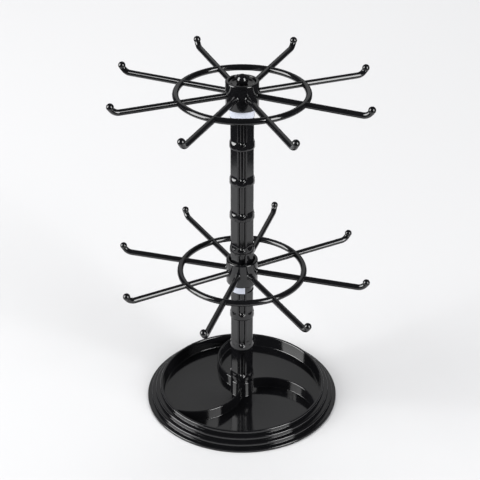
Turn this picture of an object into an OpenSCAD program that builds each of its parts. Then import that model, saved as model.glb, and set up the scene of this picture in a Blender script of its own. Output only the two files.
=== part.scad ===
// Two-tier revolving hook tree on a round divided tray.
// +Z is up, the origin is the centre of the face that it stands on, and sizes are in millimetres.

/* [Tray] */
// Outside diameter of the foot flange
tray_d = 177.6; // [172:0.2:190]
// Inside diameter of the tray wall at its rim
tray_inner_d = 148.6; // [144:0.2:150]
// Height of the rim above the table
tray_h = 14.2; // [13:0.1:18]
// Height of the three swirled dividers above the table
divider_h = 12.4; // [8:0.1:13]
// Thickness of a divider
divider_t = 1.8; // [1.4:0.1:3]
// Bend radius of a divider, seen from above
divider_bend_r = 45; // [42:0.5:60]

/* [Pole] */
// Distance from one moulded knuckle to the next
knuckle_pitch = 34.15; // [32:0.05:36]
// Radius of a knuckle's sharp lower rim
knuckle_r = 11; // [10.9:0.05:11.1]
// Radius of the pole between the knuckles
pole_r = 10.4; // [10.2:0.05:10.6]
// Distance of the four flats from the axis
flat_r = 9.7; // [9.5:0.05:10]
// Radius of the cutter that makes the four corner flutes
flute_r = 3.1; // [2:0.1:3.2]
// Turn of the flats about the axis
pole_turn = 45; // [0:1:90]

/* [Tiers] */
// Number of arms on a tier
arm_count = 8; // [8:1:8]
// Radius from the axis to the centre of an arm's tip ball
tip_r = 112.5; // [90:0.5:125]
// Diameter of an arm
arm_d = 5.24; // [4.8:0.02:5.4]
// Diameter of a tip ball
tip_ball_d = 6.4; // [6:0.1:8]
// Height of a tip ball's centre above the arm's axis
tip_rise = 5.8; // [4.8:0.1:7]
// Radius of the tie ring's centre line
ring_r = 55.1; // [45:0.1:65]
// Diameter of the tie ring's tube
ring_d = 5.5; // [5.3:0.1:6]
// Outside diameter of a hub
hub_d = 28.2; // [27.8:0.1:30]
// Bore of a hub's cup
hub_bore_d = 23; // [22.8:0.1:23.4]
// Turn of the lower tier at rest
lower_turn = 28.8; // [0:0.1:45]
// Turn of the upper tier at rest
upper_turn = 21; // [0:0.1:45]

/* [Finial] */
// Diameter of the ball on top
ball_d = 10.3; // [8:0.1:12]

/* [Hidden] */

$fn = 96;
black = [0.05, 0.05, 0.055];
steel = "silver";
natural = "white";
e = 0.01;             // overshoot of a cutter past the face it opens

// Tray
tray_r = tray_d / 2;
wall_r = tray_inner_d / 2;
floor_top = 2;
floor_under = 0.4;
wall_draft = 0.5;     // the wall leans out by this much from floor to rim
shell_t = 1.9;
step_count = 3;       // treads between the flange and the rim
flange_h = 2.4;
rim_w = 2.6;
round_r = 0.9;        // rounding on each tread's edge
step_w = (tray_r - wall_r - rim_w) / step_count;
step_h = (tray_h - flange_h) / step_count;

// Socket boss in the middle of the tray, and the screw under it
boss_r = 10.6;
boss_top = 17.2;
seat_r = 8.8;         // narrower seat that the pole stands on
seat_top = 20;
boss_hollow_r = 6.6;
boss_web_under = 14;
screw_r = 2;
screw_hole_r = 2.2;
screw_tip = 36;
screw_head_r = 4;
screw_head_h = 2.6;
washer_r = 5.5;
washer_t = 1;
running = 0.06;       // radial clearance of a journal
snug = 0.02;          // radial clearance of a glued or keyed fit

// Heights along the pole
lower_joint = seat_top + 3 * knuckle_pitch;
upper_joint = seat_top + 8 * knuckle_pitch;
window_stop = 6;      // the flats and flutes end this far below a joint
sleeve_foot = 5.5;    // and the sleeve under the hub starts this far below it
sleeve_t = 0.8;
sleeve_gap = 100;     // angle that a sleeve is open over
lower_gap_turn = 335; // middle of that gap on the lower sleeve
upper_gap_turn = 90;
collar_gap = 0.1;
neck_r = 6.6;         // journal that the hub turns on
hub_lift = 2.7;       // from a knuckle line up to the underside of the hub
hub_floor_t = 2.4;
end_gap = 0.3;        // play above the hub's floor
neck_h = hub_floor_t + collar_gap + end_gap;
rim_band = 1.4;       // straight band above a knuckle's rim
rim_hollow = 0.3;     // the underside of a rim rises by this much towards the pole
window_rise = 0.5;    // flats and flutes run up under a rim by this much
flute_out = 0.6;      // the centre of a flute's cutter lies this far outside the pole
flare_h = 6.8;        // height of the flare above that band
flare_steps = 8;
socket_r = 4.8;
socket_depth = 13;
spigot_len = 12;
key_flat = 4;         // distance from the axis to the flat of the keyed spigot
core_r = 3.9;

// Hubs and arms
hub_r = hub_d / 2;
hub_bore_r = hub_bore_d / 2;
hub_h = 23.2;
ring_lift = 11.6;     // from the underside of a hub to the plane of its arms
hub_round = 1;
arm_r = arm_d / 2;
arm_step = 360 / arm_count;
root_r = hub_bore_r + 0.7;
tip_angle = 75;       // how far the end of an arm turns up
tip_bend_r = tip_rise / (1 - cos(tip_angle));
bend_start = tip_r - tip_bend_r * sin(tip_angle);

// Finial
cap_r = hub_bore_r - 0.3;
cap_t = 2.6;
cap_drop = 1.6;       // the cap's edge lies this far below the hub's rim
dish_depth = 1;
ball_lift = 0.5;      // from the hub's rim up to the centre of the ball
ball_neck_r = 2.6;

function hub_under(joint) = joint + hub_lift;
function neck_base(joint) = hub_under(joint) - collar_gap;
function neck_top(joint) = neck_base(joint) + neck_h;
function arm_plane(joint) = hub_under(joint) + ring_lift;
// 0 at the start of a flare and 1 at its end, level at both
function ease(t) = (1 - cos(180 * t)) / 2;
// one quarter of a rounded edge, as points round the centre c from angle a to angle b
function quarter(c, r, a, b, n = 5) =
    [for (i = [0 : n]) let (t = a + (b - a) * i / n) [c[0] + r * cos(t), c[1] + r * sin(t)]];

// Outline of tread i, counted from the flange at 0 up to the rim
function tread(i) = let (r = tray_r - i * step_w, z = flange_h + i * step_h)
    quarter([r - round_r, z - round_r], round_r, 0, 90);

module tray_shell() {
    rise = [for (i = [1 : step_count]) [tray_r - i * step_w, flange_h + (i - 1) * step_h]];
    back_r = wall_r - wall_draft + shell_t;
    rotate_extrude($fn = 180)
        polygon(concat(
            [[0, floor_under], [back_r, floor_under], [back_r, tray_h - shell_t - step_h / 2]],
            [for (i = [step_count : -1 : 1]) let (foot = rise[i - 1] + [step_w * 0.35, -shell_t]) each [
                foot + [-shell_t, step_h / 2], foot]],
            [[tray_r - shell_t, 0], [tray_r, 0]],
            [for (i = [0 : step_count]) each concat(i == 0 ? [] : [rise[i - 1]], tread(i))],
            quarter([wall_r + round_r, tray_h - round_r], round_r, 90, 180),
            [[wall_r - wall_draft, floor_top + 1], [wall_r - wall_draft - 1, floor_top], [0, floor_top]]
        ));
}

module divider(turn) {
    rotate([0, 0, turn])
        intersection() {
            translate([-divider_bend_r, 0, floor_under + e])
                difference() {
                    cylinder(h = divider_h - floor_under - e, r = divider_bend_r + divider_t / 2, $fn = 180);
                    translate([0, 0, -1])
                        cylinder(h = divider_h + 2, r = divider_bend_r - divider_t / 2, $fn = 180);
                }
            cylinder(h = tray_h, r = wall_r, $fn = 180);
            translate([-2 * wall_r, -2 * wall_r, 0])
                cube([3 * wall_r, 2 * wall_r - boss_r / 2, tray_h]);
        }
}

module socket_boss() {
    rotate_extrude()
        polygon(concat(
            [[0, floor_under], [boss_r, floor_under]],
            quarter([boss_r - round_r, boss_top - round_r], round_r, 0, 90),
            [[seat_r, boss_top], [seat_r, seat_top], [0, seat_top]]
        ));
}

module tray() {
    color(black)
        difference() {
            union() {
                tray_shell();
                socket_boss();
                for (i = [0 : 2])
                    divider(0.5 + 120 * i);
            }
            translate([0, 0, -1])
                cylinder(h = boss_web_under + 1, r = boss_hollow_r);
            cylinder(h = seat_top + 1, r = screw_hole_r);
        }
}

module base_washer() {
    color(steel)
        translate([0, 0, boss_web_under - washer_t])
            difference() {
                cylinder(h = washer_t, r = washer_r);
                translate([0, 0, -1])
                    cylinder(h = washer_t + 2, r = screw_hole_r);
            }
}

module base_screw() {
    head_top = boss_web_under - washer_t;
    color(steel)
        difference() {
            union() {
                rotate_extrude()
                    polygon(concat(
                        [[0, head_top - screw_head_h], [screw_head_r - 1, head_top - screw_head_h]],
                        quarter([screw_head_r - 1, head_top - screw_head_h + 1], 1, -90, 0),
                        [[screw_head_r, head_top], [0, head_top]]
                    ));
                translate([0, 0, head_top - e])
                    cylinder(h = screw_tip - 3 - head_top + e, r = screw_r);
                translate([0, 0, screw_tip - 3])
                    cylinder(h = 3, r1 = screw_r, r2 = 0.6);
            }
            for (turn = [0, 90])
                rotate([0, 0, turn])
                    translate([-2.4, -0.4, head_top - screw_head_h - 1])
                        cube([4.8, 0.8, 2.4]);
        }
}

// Round blank of a pole from z0 up to the hub at a joint, with a flared knuckle at each height in
// the list and a seat for the sleeve
module pole_blank(z0, joint, knuckles) {
    // a knuckle at z0 has no pole under it, so its outline starts at the rim
    rotate_extrude()
        polygon(concat(
            [[0, z0]],
            search(z0, knuckles) == [] ? [[pole_r, z0]] : [],
            [for (k = knuckles) each concat(
                k == z0 ? [] : [[pole_r, k + rim_hollow]],
                [[knuckle_r, k], [knuckle_r, k + rim_band]],
                [for (i = [1 : flare_steps]) let (t = i / flare_steps)
                    [knuckle_r - (knuckle_r - pole_r) * ease(t), k + rim_band + flare_h * t]])],
            [[pole_r, joint - sleeve_foot], [pole_r - sleeve_t - snug, joint - sleeve_foot]],
            [[pole_r - sleeve_t - snug, neck_base(joint)], [0, neck_base(joint)]]
        ));
}

// One flat, from the flare of the knuckle at z0 up to z1
module flat_cut(z0, z1) {
    ramp_low = z0 + rim_band + 0.6;
    depth = knuckle_r + 0.15 - flat_r;
    rotate([90, 0, 0])
        linear_extrude(height = 2 * pole_r, center = true)
            polygon(concat(
                [[knuckle_r + 2, z1], [flat_r, z1]],
                [for (i = [0 : flare_steps]) let (t = i / flare_steps)
                    [flat_r + depth * ease(t), ramp_low + flare_h * (1 - t)]],
                [[knuckle_r + 2, ramp_low]]
            ));
}

// One corner flute with a ball end
module flute_cut(z0, z1) {
    ball_z = z0 + rim_band + flare_h - 1;
    translate([pole_r + flute_out, 0, ball_z]) {
        cylinder(h = z1 - ball_z, r = flute_r, $fn = 48);
        sphere(r = flute_r, $fn = 48);
    }
}

// The four flats and four flutes from the knuckle at z0 up to z1
module window_cuts(z0, z1) {
    for (i = [0 : 3]) {
        rotate([0, 0, pole_turn + 90 * i])
            flat_cut(z0, z1);
        rotate([0, 0, pole_turn + 45 + 90 * i])
            flute_cut(z0, z1);
    }
}

// Journal that a hub turns on
module journal(joint) {
    translate([0, 0, neck_base(joint) - e])
        cylinder(h = neck_h + e, r = neck_r);
}

// Keyed round bar, cut flat on one side
module keyed_bar(r, flat, len) {
    intersection() {
        cylinder(h = len, r = r);
        translate([-2 * r, -2 * r, -1])
            cube([2 * r + flat, 4 * r, len + 2]);
    }
}

// Keyed socket in the top of a pole, and the core hole below it
module pole_core(joint, bottom) {
    translate([0, 0, neck_top(joint) - socket_depth])
        keyed_bar(socket_r, key_flat, socket_depth + 1);
    translate([0, 0, bottom])
        cylinder(h = neck_top(joint) - socket_depth - bottom + e, r = core_r);
}

module lower_pole() {
    knuckles = [for (i = [0 : 2]) seat_top + i * knuckle_pitch];
    color(black)
        difference() {
            union() {
                difference() {
                    pole_blank(seat_top, lower_joint, knuckles);
                    for (i = [0 : 1])
                        window_cuts(knuckles[i], knuckles[i + 1] + window_rise);
                    window_cuts(knuckles[2], lower_joint - window_stop);
                }
                journal(lower_joint);
            }
            pole_core(lower_joint, screw_tip + 4);
            translate([0, 0, seat_top - 1])
                cylinder(h = screw_tip - seat_top + 2, r = screw_r + snug);
        }
}

module upper_pole() {
    foot = neck_top(lower_joint);
    knuckles = [for (i = [1 : 4]) lower_joint + i * knuckle_pitch];
    color(black)
        difference() {
            union() {
                difference() {
                    pole_blank(foot, upper_joint, knuckles);
                    window_cuts(lower_joint, knuckles[0] + window_rise);
                    for (i = [0 : 2])
                        window_cuts(knuckles[i], knuckles[i + 1] + window_rise);
                    window_cuts(knuckles[3], upper_joint - window_stop);
                }
                journal(upper_joint);
                translate([0, 0, foot - spigot_len])
                    keyed_bar(socket_r - snug, key_flat - snug, spigot_len + 1);
            }
            pole_core(upper_joint, foot + 6);
        }
}

// Split sleeve clipped round the head of a pole, open towards one side
module sleeve(joint, gap_turn) {
    foot = joint - sleeve_foot;
    side = 2 * pole_r * tan(sleeve_gap / 2);
    color(natural)
        difference() {
            translate([0, 0, foot])
                cylinder(h = neck_base(joint) - foot, r = pole_r);
            translate([0, 0, foot - 1])
                cylinder(h = neck_base(joint) - foot + 2, r = pole_r - sleeve_t);
            rotate([0, 0, gap_turn])
                translate([0, 0, foot - 1])
                    linear_extrude(height = neck_base(joint) - foot + 2)
                        polygon([[0, 0], [2 * pole_r, -side], [2 * pole_r, side]]);
        }
}

module lower_sleeve() {
    sleeve(lower_joint, lower_gap_turn);
}

module upper_sleeve() {
    sleeve(upper_joint, upper_gap_turn);
}

module finial_cap() {
    foot = neck_top(upper_joint);
    rim = hub_under(upper_joint) + hub_h;
    edge = rim - cap_drop;
    color(black)
        union() {
            rotate_extrude()
                polygon(concat(
                    [[0, foot], [neck_r, foot], [neck_r, edge - cap_t], [cap_r, edge - cap_t]],
                    quarter([cap_r - 0.6, edge - 0.6], 0.6, 0, 90),
                    [[cap_r - 1.4, edge], [cap_r - 3, edge - dish_depth], [0, edge - dish_depth]]
                ));
            translate([0, 0, edge - dish_depth - e])
                cylinder(h = rim + ball_lift - edge + dish_depth, r = ball_neck_r);
            translate([0, 0, rim + ball_lift])
                sphere(r = ball_d / 2);
            translate([0, 0, foot - spigot_len])
                keyed_bar(socket_r - snug, key_flat - snug, spigot_len + 1);
        }
}

module hub(joint, turn) {
    under = hub_under(joint);
    color(black)
        difference() {
            rotate_extrude()
                polygon(concat(
                    [[neck_r + running, under]],
                    quarter([hub_r - hub_round, under + hub_round], hub_round, -90, 0),
                    quarter([hub_r - hub_round, under + hub_h - hub_round], hub_round, 0, 90),
                    [[hub_bore_r + 0.3, under + hub_h], [hub_bore_r, under + hub_h - 0.3]],
                    [[hub_bore_r, under + hub_floor_t], [neck_r + running, under + hub_floor_t]]
                ));
            for (i = [0 : arm_count - 1])
                rotate([0, 0, turn + arm_step * i])
                    translate([root_r, 0, under + ring_lift])
                        rotate([0, 90, 0])
                            cylinder(h = hub_r, r = arm_r + snug);
        }
}

// The tie ring's tube at height z
module ring_tube(z) {
    translate([0, 0, z])
        rotate_extrude($fn = 180)
            translate([ring_r, 0])
                rotate(90)
                    circle(d = ring_d, $fn = 48);
}

// A ring is notched from below where an arm crosses it, and the arm is let in from above
module ring(joint, turn) {
    z = arm_plane(joint);
    color(black)
        difference() {
            ring_tube(z);
            for (i = [0 : arm_count - 1])
                rotate([0, 0, turn + arm_step * i])
                    translate([ring_r - ring_d, -arm_r, z - ring_d])
                        cube([2 * ring_d, arm_d, ring_d]);
        }
}

// Straight rod with its end bent up, lying along +X
module bent_rod() {
    translate([root_r, 0, 0])
        rotate([0, 90, 0])
            cylinder(h = bend_start - root_r, r = arm_r, $fn = 48);
    translate([bend_start, 0, tip_bend_r])
        rotate([90, 0, 0])
            rotate([0, 0, -90])
                rotate_extrude(angle = tip_angle)
                    translate([tip_bend_r, 0])
                        circle(r = arm_r, $fn = 48);
}

module arm(joint, turn) {
    z = arm_plane(joint);
    color(black)
        difference() {
            rotate([0, 0, turn])
                translate([0, 0, z])
                    union() {
                        union() {
                            bent_rod();
                        }
                        translate([tip_r, 0, tip_rise])
                            sphere(d = tip_ball_d, $fn = 48);
                    }
            intersection() {
                ring_tube(z);
                rotate([0, 0, turn])
                    translate([ring_r - ring_d, -ring_d, z])
                        cube([2 * ring_d, 2 * ring_d, ring_d]);
            }
        }
}

module lower_hub() {
    hub(lower_joint, lower_turn);
}

module upper_hub() {
    hub(upper_joint, upper_turn);
}

module lower_ring() {
    ring(lower_joint, lower_turn);
}

module upper_ring() {
    ring(upper_joint, upper_turn);
}

module lower_arm(i) {
    arm(lower_joint, lower_turn + arm_step * (i - 1));
}

module upper_arm(i) {
    arm(upper_joint, upper_turn + arm_step * (i - 1));
}

tray();
base_washer();
base_screw();
lower_pole();
upper_pole();
finial_cap();
lower_sleeve();
upper_sleeve();
lower_hub();
lower_ring();
upper_hub();
upper_ring();
for (i = [1 : arm_count]) lower_arm(i);
for (i = [1 : arm_count]) upper_arm(i);
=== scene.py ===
import math

import bmesh
import bpy
from mathutils import Matrix, Vector


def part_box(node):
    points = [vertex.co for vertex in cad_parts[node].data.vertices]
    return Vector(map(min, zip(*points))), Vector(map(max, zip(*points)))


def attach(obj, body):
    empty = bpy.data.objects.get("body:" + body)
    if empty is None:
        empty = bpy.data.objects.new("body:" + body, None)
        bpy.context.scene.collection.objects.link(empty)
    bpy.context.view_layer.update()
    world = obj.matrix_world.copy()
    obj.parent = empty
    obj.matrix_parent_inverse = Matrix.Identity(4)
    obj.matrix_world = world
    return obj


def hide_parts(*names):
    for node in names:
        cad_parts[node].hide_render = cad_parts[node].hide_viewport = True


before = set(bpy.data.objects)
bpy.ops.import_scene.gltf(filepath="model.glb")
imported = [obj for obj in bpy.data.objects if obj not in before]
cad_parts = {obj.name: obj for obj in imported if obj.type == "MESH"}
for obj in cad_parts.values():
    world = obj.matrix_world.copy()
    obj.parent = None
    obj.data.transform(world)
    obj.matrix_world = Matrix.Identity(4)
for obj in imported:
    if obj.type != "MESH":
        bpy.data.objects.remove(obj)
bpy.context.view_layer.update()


# Camera
# A long lens a little over a metre away, at a person's height above the table and looking
# down at the stand, which stands just right of the middle of the view.
scene = bpy.context.scene
camera_data = bpy.data.cameras.new("camera")
camera_data.sensor_width = 36
camera_data.lens = 94.3
camera_data.clip_start = 0.05
camera = bpy.data.objects.new("camera", camera_data)
camera.location = (0, -0.9534, 0.7311)
camera.rotation_euler = (math.radians(59.394), 0, 0.0019)
scene.collection.objects.link(camera)
scene.camera = camera
scene.view_settings.view_transform = "Standard"


# Table and room
# A sheet of matt white board lies on a wider white floor. Only the sheet is mirrored in the
# stand: the room past it is dim, so that black plastic stays black between the bright lines.
def to_linear(colour):
    """An sRGB hex colour as linear red, green, blue and alpha."""
    parts = [int(colour[i:i + 2], 16) / 255 for i in (1, 3, 5)]
    return [c / 12.92 if c <= 0.04045 else ((c + 0.055) / 1.055) ** 2.4 for c in parts] + [1]


def add_node(tree, kind, settings=None, values=None, links=None):
    """A new node with its properties, its unlinked inputs and the outputs that feed the others."""
    node = tree.nodes.new(kind)
    for name, value in (settings or {}).items():
        setattr(node, name, value)
    for name, value in (values or {}).items():
        node.inputs[name].default_value = value
    for name, output in (links or {}).items():
        tree.links.new(output, node.inputs[name])
    return node


def new_material(name):
    """An empty node material, and its tree with a place to plug the shader in."""
    material = bpy.data.materials.new(name)
    material.use_nodes = True
    material.node_tree.nodes.clear()
    return material, material.node_tree


def noise(tree, size, detail, distortion=0):
    """A noise pattern with spots of this size in metres, fixed to the piece."""
    place = add_node(tree, "ShaderNodeTexCoord")
    return add_node(tree, "ShaderNodeTexNoise",
                    values={"Scale": 1 / size, "Detail": detail, "Distortion": distortion},
                    links={"Vector": place.outputs["Object"]}).outputs["Fac"]


def two_tones(tree, pattern, first, second):
    """One sRGB hex colour where the pattern is 0, another where it is 1, and blends between."""
    mix = add_node(tree, "ShaderNodeMix", settings={"data_type": "RGBA"}, links={"Factor": pattern})
    mix.inputs[6].default_value = to_linear(first)
    mix.inputs[7].default_value = to_linear(second)
    return mix.outputs[2]


def bump(tree, pattern, strength, height):
    """Normals for a surface that this pattern lifts by up to this height in metres."""
    return add_node(tree, "ShaderNodeBump", values={"Strength": strength, "Distance": height},
                    links={"Height": pattern}).outputs["Normal"]


def finish_material(tree, values, links):
    """Feeds a principled shader and plugs it in."""
    shader = add_node(tree, "ShaderNodeBsdfPrincipled", values=values, links=links)
    add_node(tree, "ShaderNodeOutputMaterial", links={"Surface": shader.outputs["BSDF"]})


def shape_object(name, shape, material, sharp=35):
    """The finished bmesh as an object, smooth except where its faces meet at more than this angle."""
    mesh = bpy.data.meshes.new(name)
    for face in shape.faces:
        face.smooth = True
    shape.to_mesh(mesh)
    shape.free()
    mesh.set_sharp_from_angle(angle=math.radians(sharp))
    mesh.materials.append(material)
    made = bpy.data.objects.new(name, mesh)
    scene.collection.objects.link(made)
    return made


sheet_half = 0.48
sheet_front = -0.42
sheet_back = 1.9
floor_side = 16
sheet_t = 0.0002
board_tone = "#cdcdce"
board_fibre = 0.004
room_tone = "#9a9da1"
room_light = 0.14
board_white, tree = new_material("matt_white_board")
fibre = noise(tree, board_fibre, 3)
finish_material(tree, {"Base Color": to_linear(board_tone), "Roughness": 0.85, "IOR": 1.35},
                {"Normal": bump(tree, fibre, 0.1, 0.0001)})
board = bmesh.new()
bmesh.ops.create_grid(board, x_segments=4, y_segments=4, size=sheet_half)
for corner in board.verts:
    along = corner.co.y / sheet_half / 2 + 0.5
    corner.co.y = sheet_front + (sheet_back - sheet_front) * along
board = shape_object("white_board", board, board_white)
floor = bmesh.new()
bmesh.ops.create_grid(floor, x_segments=4, y_segments=4, size=floor_side / 2)
bmesh.ops.translate(floor, verts=floor.verts, vec=(0, 0, -sheet_t))
floor = shape_object("white_floor", floor, board_white)
floor.visible_glossy = False

room = bpy.data.worlds.new("dim_room")
room.use_nodes = True
background = room.node_tree.nodes["Background"]
background.inputs["Color"].default_value = to_linear(room_tone)
background.inputs["Strength"].default_value = room_light
scene.world = room


# Lamps
# Two tall softboxes stand left and right of the stand. They draw the paired bright spots on
# every ball and the long lines on the rods. A pale wall lamp stands far behind, and a broad
# fill over the sheet, which isn't mirrored, keeps the sheet even from front to back.
def softbox(name, place, target, width, height, power):
    """A rectangular lamp at this place, turned to face the target."""
    data = bpy.data.lights.new(name, "AREA")
    data.shape = "RECTANGLE"
    data.size = width
    data.size_y = height
    data.energy = power
    lamp = bpy.data.objects.new(name, data)
    lamp.location = place
    lamp.rotation_euler = (Vector(place) - Vector(target)).to_track_quat("Z", "Y").to_euler()
    lamp.visible_camera = False
    scene.collection.objects.link(lamp)
    return lamp


stand_top = (0, 0, 0.3)
stand_foot = (0, 0, 0.1)
softbox("left_softbox", (-2.53, -0.58, 1.2), stand_top, 1.84, 2.5, 155)
softbox("right_softbox", (1.95, -1.68, 1.24), stand_top, 1.2, 2.4, 105)
softbox("back_wall_lamp", (0, 2.4, 1.55), stand_foot, 3, 1.3, 5.5)
fill = softbox("overhead_fill", (0.15, 1.8, 2.1), (0.1, 1.5, 0), 2.4, 2, 46)
fill.visible_glossy = False


# Tray
# One injection moulding in black polystyrene: a dish with a stepped skirt, hollow under the
# steps, three swirled dividers, and a boss in the middle that the pole is screwed down on.
MM = 0.001


def spun(shape, corners, steps, closed=False, about=(0, 0, 1)):
    """Turns an outline about an axis. A corner is (radius, height, round) in millimetres, its
    round the length taken off both sides of it, and height runs along the axis."""
    axis = Vector(about)
    side = Vector((1, 0, 0)) if axis.z else Vector((0, 0, 1))
    drawn = [shape.verts.new((side * c[0] + axis * c[1]) * MM) for c in corners]
    pairs = list(zip(drawn, drawn[1:] + drawn[:1]))
    edges = [shape.edges.new(pair) for pair in (pairs if closed else pairs[:-1])]
    old = set(shape.verts) - set(drawn)
    for vertex, corner in zip(drawn, corners):
        if corner[2]:
            bmesh.ops.bevel(shape, geom=[vertex], offset=corner[2] * MM, segments=4, profile=0.5,
                            affect="VERTICES", material=-1)
    line = [v for v in shape.verts if v not in old]
    edges = list({e for v in line for e in v.link_edges})
    bmesh.ops.spin(shape, geom=line + edges, cent=(0, 0, 0), axis=axis, angle=math.tau,
                   steps=steps, use_merge=True)
    made = [v for v in shape.verts if v not in old]
    bmesh.ops.remove_doubles(shape, verts=made, dist=0.5e-6)
    bmesh.ops.recalc_face_normals(shape, faces=shape.faces)


def fit_up(piece, body, slot, *nodes):
    """Seats a finished piece on the body that it moves with, in place of its CAD nodes."""
    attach(piece, body)
    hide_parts(*nodes)


# Polystyrene straight from a polished mould is a deep, slightly warm black with a mirror
# gloss. A faint orange peel bends what it mirrors, and handling leaves it unevenly bright.
black_light = "#101012"
black_deep = "#080809"
flow_mark = 0.022
orange_peel = 0.0028
handling = 0.014
black_gloss, tree = new_material("moulded_gloss_black_polystyrene")
tone = two_tones(tree, noise(tree, flow_mark, 2, 0.6), black_deep, black_light)
gloss = add_node(tree, "ShaderNodeMapRange",
                 values={"From Min": 0.35, "From Max": 0.75, "To Min": 0.08, "To Max": 0.14},
                 links={"Value": noise(tree, handling, 4)})
finish_material(tree, {"IOR": 1.55},
                {"Base Color": tone, "Roughness": gloss.outputs["Result"],
                 "Normal": bump(tree, noise(tree, orange_peel, 1), 1, 0.000004)})

tray_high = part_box("tray")[1]
tray_r = tray_high.x / MM
seat_top = tray_high.z / MM
floor_top = 2
floor_under = 0.4
wall_foot_r = 73.8
wall_rim_r = 74.3
rim_w = 2.6
rim_top = 14.2
flange_h = 2.4
steps_down = 3
step_w = (tray_r - wall_rim_r - rim_w) / steps_down
step_h = (rim_top - flange_h) / steps_down
shell = 1.9
tread_round = 0.8
riser_round = 0.25
under_round = 0.3
under_lap = 0.35
boss_r = 10.6
boss_top = 17.2
seat_r = 8.8
pocket_r = 6.6
pocket_top = 14
screw_hole_r = 2.2
outline = [(screw_hole_r, seat_top, 0.2), (seat_r, seat_top, 0.3), (seat_r, boss_top, 0.2),
           (boss_r, boss_top, 0.9), (boss_r, floor_top, 0.6), (wall_foot_r, floor_top, 1.2),
           (wall_rim_r, rim_top, tread_round)]
for i in range(steps_down, 0, -1):
    outline += [(tray_r - i * step_w, flange_h + i * step_h, tread_round),
                (tray_r - i * step_w, flange_h + (i - 1) * step_h, riser_round)]
outline += [(tray_r, flange_h, tread_round), (tray_r, 0, 0.2), (tray_r - shell, 0, 0.2)]
for i in range(1, steps_down + 1):
    foot = tray_r - (i - under_lap) * step_w
    outline += [(foot, flange_h + (i - 1) * step_h - shell, 0),
                (foot - shell, flange_h + (i - 0.5) * step_h - shell, under_round)]
wall_back_r = wall_foot_r + shell
outline += [(wall_back_r, flange_h + (steps_down - 0.5) * step_h - shell, under_round),
            (wall_back_r, floor_under, 0), (pocket_r, floor_under, under_round),
            (pocket_r, pocket_top, under_round), (screw_hole_r, pocket_top, 0)]
tray = bmesh.new()
spun(tray, outline, 192, closed=True)

divider_top = 12.4
divider_t = 1.8
divider_bend_r = 45
divider_foot = 0.6
divider_edge = 0.85
divider_count = 3
divider_turn = math.radians(0.5)
skirt = 1.4
skirt_t = 0.4
sink = 0.02
into_boss = 2
into_wall = 0.5
for i in range(divider_count):
    half = divider_t / 2
    foot = floor_top - sink
    across = [(-half - skirt, foot - skirt_t, 0), (-half - skirt, foot, 0),
              (-half, foot, divider_foot), (-half, divider_top, divider_edge),
              (half, divider_top, divider_edge), (half, foot, divider_foot),
              (half + skirt, foot, 0), (half + skirt, foot - skirt_t, 0)]
    before = set(tray.verts)
    corners = [tray.verts.new((divider_bend_r * MM + x * MM, 0, z * MM)) for x, z, _ in across]
    tray.faces.new(corners)
    for corner, (_, _, rounding) in zip(corners, across):
        if rounding:
            bmesh.ops.bevel(tray, geom=[corner], offset=rounding * MM, segments=5, profile=0.5,
                            affect="VERTICES", material=-1)
    drawn = [v for v in tray.verts if v not in before]
    start = 2 * math.asin((boss_r - into_boss) / 2 / divider_bend_r)
    end = 2 * math.asin((wall_rim_r + into_wall) / 2 / divider_bend_r)
    bmesh.ops.rotate(tray, verts=drawn, cent=(0, 0, 0), matrix=Matrix.Rotation(-start, 3, "Z"))
    faces = list({f for v in drawn for f in v.link_faces})
    edges = list({e for v in drawn for e in v.link_edges})
    bmesh.ops.spin(tray, geom=drawn + edges + faces, cent=(0, 0, 0), axis=(0, 0, -1),
                   angle=end - start, steps=56)
    drawn = [v for v in tray.verts if v not in before]
    bmesh.ops.translate(tray, verts=drawn, vec=(-divider_bend_r * MM, 0, 0))
    bmesh.ops.rotate(tray, verts=drawn, cent=(0, 0, 0),
                     matrix=Matrix.Rotation(divider_turn + math.tau * i / divider_count, 3, "Z"))
bmesh.ops.recalc_face_normals(tray, faces=tray.faces)
tray = shape_object("moulded_tray", tray, black_gloss)
fit_up(tray, "stand", "gloss_black_plastic", "tray")


# Screw and washer
# A self-tapping steel screw with a pan head and cross recess, and a flat washer, zinc plated
# by the barrel. They pull the pole down on the boss from inside the pocket under the tray.
# Bright zinc is a cool silver with a faint straw tint in patches and a fine barrel haze.
zinc_silver = "#b9bdc2"
zinc_straw = "#c2bda8"
plating_patch = 0.003
barrel_scuff = 0.0006
zinc_plate, tree = new_material("bright_zinc_plated_steel")
tint = two_tones(tree, noise(tree, plating_patch, 3), zinc_silver, zinc_straw)
scuff = noise(tree, barrel_scuff, 2)
haze = add_node(tree, "ShaderNodeMapRange", values={"To Min": 0.22, "To Max": 0.42},
                links={"Value": scuff})
finish_material(tree, {"Metallic": 1},
                {"Base Color": tint, "Roughness": haze.outputs["Result"],
                 "Normal": bump(tree, scuff, 0.5, 0.00001)})
for name in ("base_washer", "base_screw"):
    for material_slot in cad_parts[name].material_slots:
        material_slot.material = zinc_plate


# Pole
# Two black mouldings, one below the lower tier and one above it. Each has knuckles at one
# even pitch: a sharp rim under a short flare, four flats and four corner flutes.
knuckle_r = 11
pole_r = 10.4
flat_r = 9.7
flute_r = 3.1
flute_out = 11
flat_turn = math.radians(45)
rim_band = 1.4
flare_h = 6.8
flat_start = 2
flat_past_rim = 0.15
flute_ball_drop = 1
rim_round = 0.25
under_rim = 0.3
window_stop = 6
sleeve_drop = 5.5
sleeve_t = 0.8
sleeve_seat_r = pole_r - sleeve_t - 0.02
neck_r = 6.6
neck_h = 2.8
key_r = 4.78
key_flat = 3.98
key_len = 12
clear_of_flare = 4
flare_ring = 0.4
window_ring = 3
land_rise = 0.04


def ease(t):
    """0 up to t = 0 and 1 from t = 1, level at both ends."""
    return (1 - math.cos(math.pi * min(max(t, 0), 1))) / 2


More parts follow.
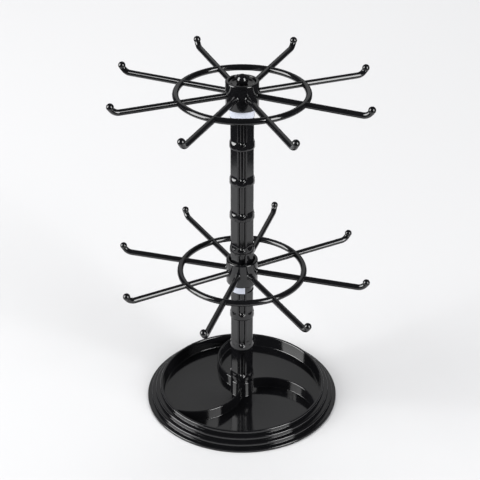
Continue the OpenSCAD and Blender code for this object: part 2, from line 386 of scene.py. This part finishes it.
def pole_reach(angle, height, knuckle, full):
    """How far the skin of the pole lies from the axis at this angle, above this knuckle."""
    rise = height - knuckle - flat_start
    flat = flat_r + (knuckle_r + flat_past_rim - flat_r) * ease(1 - rise / flare_h)
    turn = (angle - flat_turn + math.pi / 4) % (math.pi / 2) - math.pi / 4
    reach = min(full, flat / math.cos(turn)) if rise > 0 else full
    below = knuckle + rim_band + flare_h - flute_ball_drop - height
    radius = math.sqrt(max(flute_r ** 2 - max(below, 0) ** 2, 0))
    off = abs(turn) - math.pi / 4
    aside = flute_out * math.sin(off)
    if abs(aside) < radius:
        reach = min(reach, flute_out * math.cos(off) - math.sqrt(radius ** 2 - aside ** 2))
    return reach


def pole(name, node, foot, knuckles, joint, neck):
    """One moulding of the pole, from its foot up to the journal that a hub turns on. It is turned
    round first, and then each of its windows is pressed in to the flats and flutes."""
    shape = bmesh.new()
    window = shape.verts.layers.float.new("window")
    plain = 0
    skin = []
    starts = knuckles
    if knuckles[0] > foot:
        starts = [foot - rim_band - flare_h - clear_of_flare] + knuckles
    for k, above in zip(starts, starts[1:] + [None]):
        top = joint - window_stop if above is None else above + under_rim
        if k in knuckles:
            skin += [(knuckle_r - rim_round, k, plain),
                     (knuckle_r - 0.32 * rim_round, k + 0.32 * rim_round, plain),
                     (knuckle_r, k + rim_round, plain), (knuckle_r, k + rim_band, plain)]
            first = k + rim_band
        else:
            skin += [(pole_r, foot, k)]
            first = foot
        flared = k + rim_band + flare_h + 2
        heights = []
        if flared > first:
            count = math.ceil((flared - first) / flare_ring)
            heights = [first + (flared - first) * i / count for i in range(1, count + 1)]
            first = flared
        count = math.ceil((top - first) / window_ring)
        heights += [first + (top - first) * i / count for i in range(1, count + 1)]
        for z in heights:
            flare = 1 - ease((z - k - rim_band) / flare_h)
            skin.append((pole_r + (knuckle_r - pole_r) * flare, z, k))
    rest = [(pole_r, joint - window_stop + land_rise, plain), (pole_r, joint - sleeve_drop, plain),
            (sleeve_seat_r, joint - sleeve_drop, plain), (sleeve_seat_r, neck - neck_h, plain),
            (neck_r, neck - neck_h, plain), (neck_r, neck, plain), (0, neck, plain)]
    if knuckles[0] <= foot:
        base = [(0, foot, plain)]
    else:
        base = [(0, foot - key_len, plain), (key_r, foot - key_len, plain), (key_r, foot, plain)]
    line = base + skin + rest
    drawn = [shape.verts.new((r * MM, 0, z * MM)) for r, z, _ in line]
    for vertex, (_, _, k) in zip(drawn, line):
        vertex[window] = k
    edges = [shape.edges.new(pair) for pair in zip(drawn, drawn[1:])]
    bmesh.ops.spin(shape, geom=drawn + edges, cent=(0, 0, 0), axis=(0, 0, 1), angle=math.tau,
                   steps=240, use_merge=True)
    for vertex in shape.verts:
        k = vertex[window]
        if k != plain:
            full = vertex.co.xy.length / MM
            angle = math.atan2(vertex.co.y, vertex.co.x)
            reach = pole_reach(angle, vertex.co.z / MM, k, full)
            vertex.co.xy *= reach / full
        elif vertex.co.z / MM < foot and vertex.co.x > key_flat * MM:
            vertex.co.x = key_flat * MM
    bmesh.ops.remove_doubles(shape, verts=shape.verts, dist=1e-6)
    bmesh.ops.recalc_face_normals(shape, faces=shape.faces)
    shape.verts.layers.float.remove(shape.verts.layers.float["window"])
    made = shape_object(name, shape, black_gloss)
    fit_up(made, "stand", "gloss_black_plastic", node)


lower_low, lower_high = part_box("lower_pole")
foot = lower_low.z / MM
neck = lower_high.z / MM
top_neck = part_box("upper_pole")[1].z / MM
pitch = (top_neck - neck) / 5
lower_joint = foot + 3 * pitch
upper_joint = foot + 8 * pitch
pole("lower_pole_moulding", "lower_pole", foot, [foot + i * pitch for i in range(3)],
     lower_joint, neck)
pole("upper_pole_moulding", "upper_pole", neck, [lower_joint + i * pitch for i in range(1, 5)],
     upper_joint, top_neck)


# Sleeves
# A split sleeve of natural white nylon is clipped on the head of each pole moulding, flush with
# it and open on one side. It shows as a white band under the hub that turns above it.
nylon_clear = "#b4b8c4"
nylon_milky = "#c6cad5"
cloud = 0.004
satin = 0.0004
white_nylon, tree = new_material("natural_white_nylon")
milk = two_tones(tree, noise(tree, cloud, 3), nylon_clear, nylon_milky)
finish_material(tree, {"Roughness": 0.42, "IOR": 1.53},
                {"Base Color": milk, "Normal": bump(tree, noise(tree, satin, 2), 0.3, 0.00001)})
sleeve_round = 0.12
sleeve_open = math.radians(100)
for tier, gap in (("lower", math.radians(335)), ("upper", math.radians(90))):
    low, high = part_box(tier + "_sleeve")
    sleeve = bmesh.new()
    inner_r = pole_r - sleeve_t
    corners = [(inner_r, low.z), (pole_r, low.z), (pole_r, high.z), (inner_r, high.z)]
    drawn = [sleeve.verts.new((r * MM, 0, z)) for r, z in corners]
    sleeve.faces.new(drawn)
    bmesh.ops.bevel(sleeve, geom=drawn, offset=sleeve_round * MM, segments=3, profile=0.5,
                    affect="VERTICES", material=-1)
    bmesh.ops.rotate(sleeve, verts=sleeve.verts, cent=(0, 0, 0),
                     matrix=Matrix.Rotation(gap + sleeve_open / 2, 3, "Z"))
    bmesh.ops.spin(sleeve, geom=sleeve.verts[:] + sleeve.edges[:] + sleeve.faces[:],
                   cent=(0, 0, 0), axis=(0, 0, 1), angle=math.tau - sleeve_open, steps=104)
    bmesh.ops.recalc_face_normals(sleeve, faces=sleeve.faces)
    sleeve = shape_object(tier + "_split_sleeve", sleeve, white_nylon)
    fit_up(sleeve, "stand", "natural_white_nylon", tier + "_sleeve")


# Hubs
# A black cup with a thick wall and rounded lips, one to each tier. It drops over the journal
# on top of a pole moulding and turns on it, and eight rods are fixed in its wall.
hub_floor_t = 2.4
hub_wall = 2.6
journal_r = 6.66
for tier in ("lower", "upper"):
    low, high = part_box(tier + "_hub")
    under = low.z / MM
    over = high.z / MM
    hub_r = high.x / MM
    bore_r = hub_r - hub_wall
    hub = bmesh.new()
    spun(hub, [(journal_r, under, 0.2), (hub_r, under, 1), (hub_r, over, 1), (bore_r, over, 0.4),
               (bore_r, under + hub_floor_t, 0.8), (journal_r, under + hub_floor_t, 0.2)],
         128, closed=True)
    hub = shape_object(tier + "_cup_hub", hub, black_gloss)
    fit_up(hub, tier + "_tier", "gloss_black_plastic", tier + "_hub")


# Rods
# Eight straight black rods to a tier, let into the hub at one height. The outer end of each
# turns up in a short bend and carries a ball, which keeps what is hung there from sliding off.
rod_r = 2.62
rod_root = 12.2
root_fillet = 0.5
bend_r = 7.825
bend_angle = math.radians(75)
ball_r = 3.2
rods = 8


def rod_shape(plane, reach, turn):
    """A rod as a turned bar along X, bent up at its end and then swung to its place."""
    start = reach - bend_r * math.sin(bend_angle)
    tip = start + bend_r * bend_angle
    neck_at = math.asin(rod_r / ball_r)
    line = [(0, rod_root, 0), (rod_r + root_fillet, rod_root, 0), (rod_r + root_fillet, hub_r, 0),
            (rod_r, hub_r + root_fillet, 0.35), (rod_r, start, 0)]
    neck = tip - ball_r * math.cos(neck_at)
    bends = 14
    line += [(rod_r, start + (neck - 0.6 - start) * i / bends, 0) for i in range(1, bends + 1)]
    line += [(rod_r, neck, 0.35)]
    turns = 12
    for i in range(1, turns + 1):
        a = neck_at + (math.pi - neck_at) * i / turns
        line.append((ball_r * math.sin(a), tip - ball_r * math.cos(a), 0))
    shape = bmesh.new()
    spun(shape, line, 36, about=(1, 0, 0))
    for vertex in shape.verts:
        along = vertex.co.x / MM - start
        if along > 0:
            angle = along / bend_r if along < neck - 0.5 - start else bend_angle
            past = 0 if angle < bend_angle else along - bend_r * bend_angle
            up = vertex.co.z / MM
            vertex.co.x = (start + (bend_r - up) * math.sin(angle) + past * math.cos(angle)) * MM
            vertex.co.z = (bend_r - (bend_r - up) * math.cos(angle) + past * math.sin(angle)) * MM
    swing = Matrix.Rotation(turn, 3, "Z")
    bmesh.ops.rotate(shape, verts=shape.verts, cent=(0, 0, 0), matrix=swing)
    bmesh.ops.translate(shape, verts=shape.verts, vec=(0, 0, plane))
    bmesh.ops.recalc_face_normals(shape, faces=shape.faces)
    return shape


for tier in ("lower", "upper"):
    low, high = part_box(tier + "_arm_1")
    tip = Vector((high.x, high.y, 0)) - Vector((ball_r, ball_r, 0)) * MM
    first = math.atan2(tip.y, tip.x)
    for i in range(rods):
        rod = rod_shape(low.z + rod_r * MM, tip.length / MM, first + math.tau * i / rods)
        rod = shape_object(f"{tier}_rod_{i + 1}", rod, black_gloss, sharp=60)
        fit_up(rod, tier + "_tier", "gloss_black_plastic", f"{tier}_arm_{i + 1}")


# Tie rings
# A round black ring halfway out along the rods of each tier. Rods and ring are let into each
# other where they cross, with their centre lines in one plane.
for tier in ("lower", "upper"):
    low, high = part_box(tier + "_ring")
    tube_r = (high.z - low.z) / 2
    ring = bmesh.new()
    middle = Vector((high.x - tube_r, 0, (low.z + high.z) / 2))
    upright = Matrix.Translation(middle) @ Matrix.Rotation(math.pi / 2, 4, "X")
    circle = bmesh.ops.create_circle(ring, radius=tube_r, segments=32, matrix=upright)
    bmesh.ops.spin(ring, geom=circle["verts"] + ring.edges[:], cent=(0, 0, 0), axis=(0, 0, 1),
                   angle=math.tau, steps=192, use_merge=True)
    bmesh.ops.remove_doubles(ring, verts=ring.verts, dist=1e-6)
    bmesh.ops.recalc_face_normals(ring, faces=ring.faces)
    ring = shape_object(tier + "_tie_ring", ring, black_gloss)
    fit_up(ring, tier + "_tier", "gloss_black_plastic", tier + "_ring")


# Finial cap
# A shallow black dish with a ball on a short neck. Its keyed stem is cemented in the top of
# the upper pole moulding, so it stays still over the turning hub and holds the hub down.
cap_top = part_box("finial_cap")[1].z / MM
cap_r = 11.2
cap_t = 2.6
cap_drop = 1.6
lip_w = 1.4
dish_slope = 1.6
dish = 1
finial_r = 5.15
finial_neck_r = 2.6
hub_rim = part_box("upper_hub")[1].z / MM
edge = hub_rim - cap_drop
centre = cap_top - finial_r
foot = top_neck
line = [(0, foot - key_len, 0), (key_r, foot - key_len, 0.3), (key_r, foot, 0), (neck_r, foot, 0),
        (neck_r, edge - cap_t, 0.3), (cap_r, edge - cap_t, 0.2), (cap_r, edge, 0.6),
        (cap_r - lip_w, edge, 0.5), (cap_r - lip_w - dish_slope, edge - dish, 0.6),
        (finial_neck_r, edge - dish, 0)]
neck_at = math.asin(finial_neck_r / finial_r)
turns = 20
for i in range(turns + 1):
    a = neck_at + (math.pi - neck_at) * i / turns
    line.append((finial_r * math.sin(a), centre - finial_r * math.cos(a), 0))
cap = bmesh.new()
spun(cap, line, 96)
for vertex in cap.verts:
    if vertex.co.z < (foot - 0.01) * MM and vertex.co.x > key_flat * MM:
        vertex.co.x = key_flat * MM
cap = shape_object("ball_finial_cap", cap, black_gloss)
fit_up(cap, "stand", "gloss_black_plastic", "finial_cap")
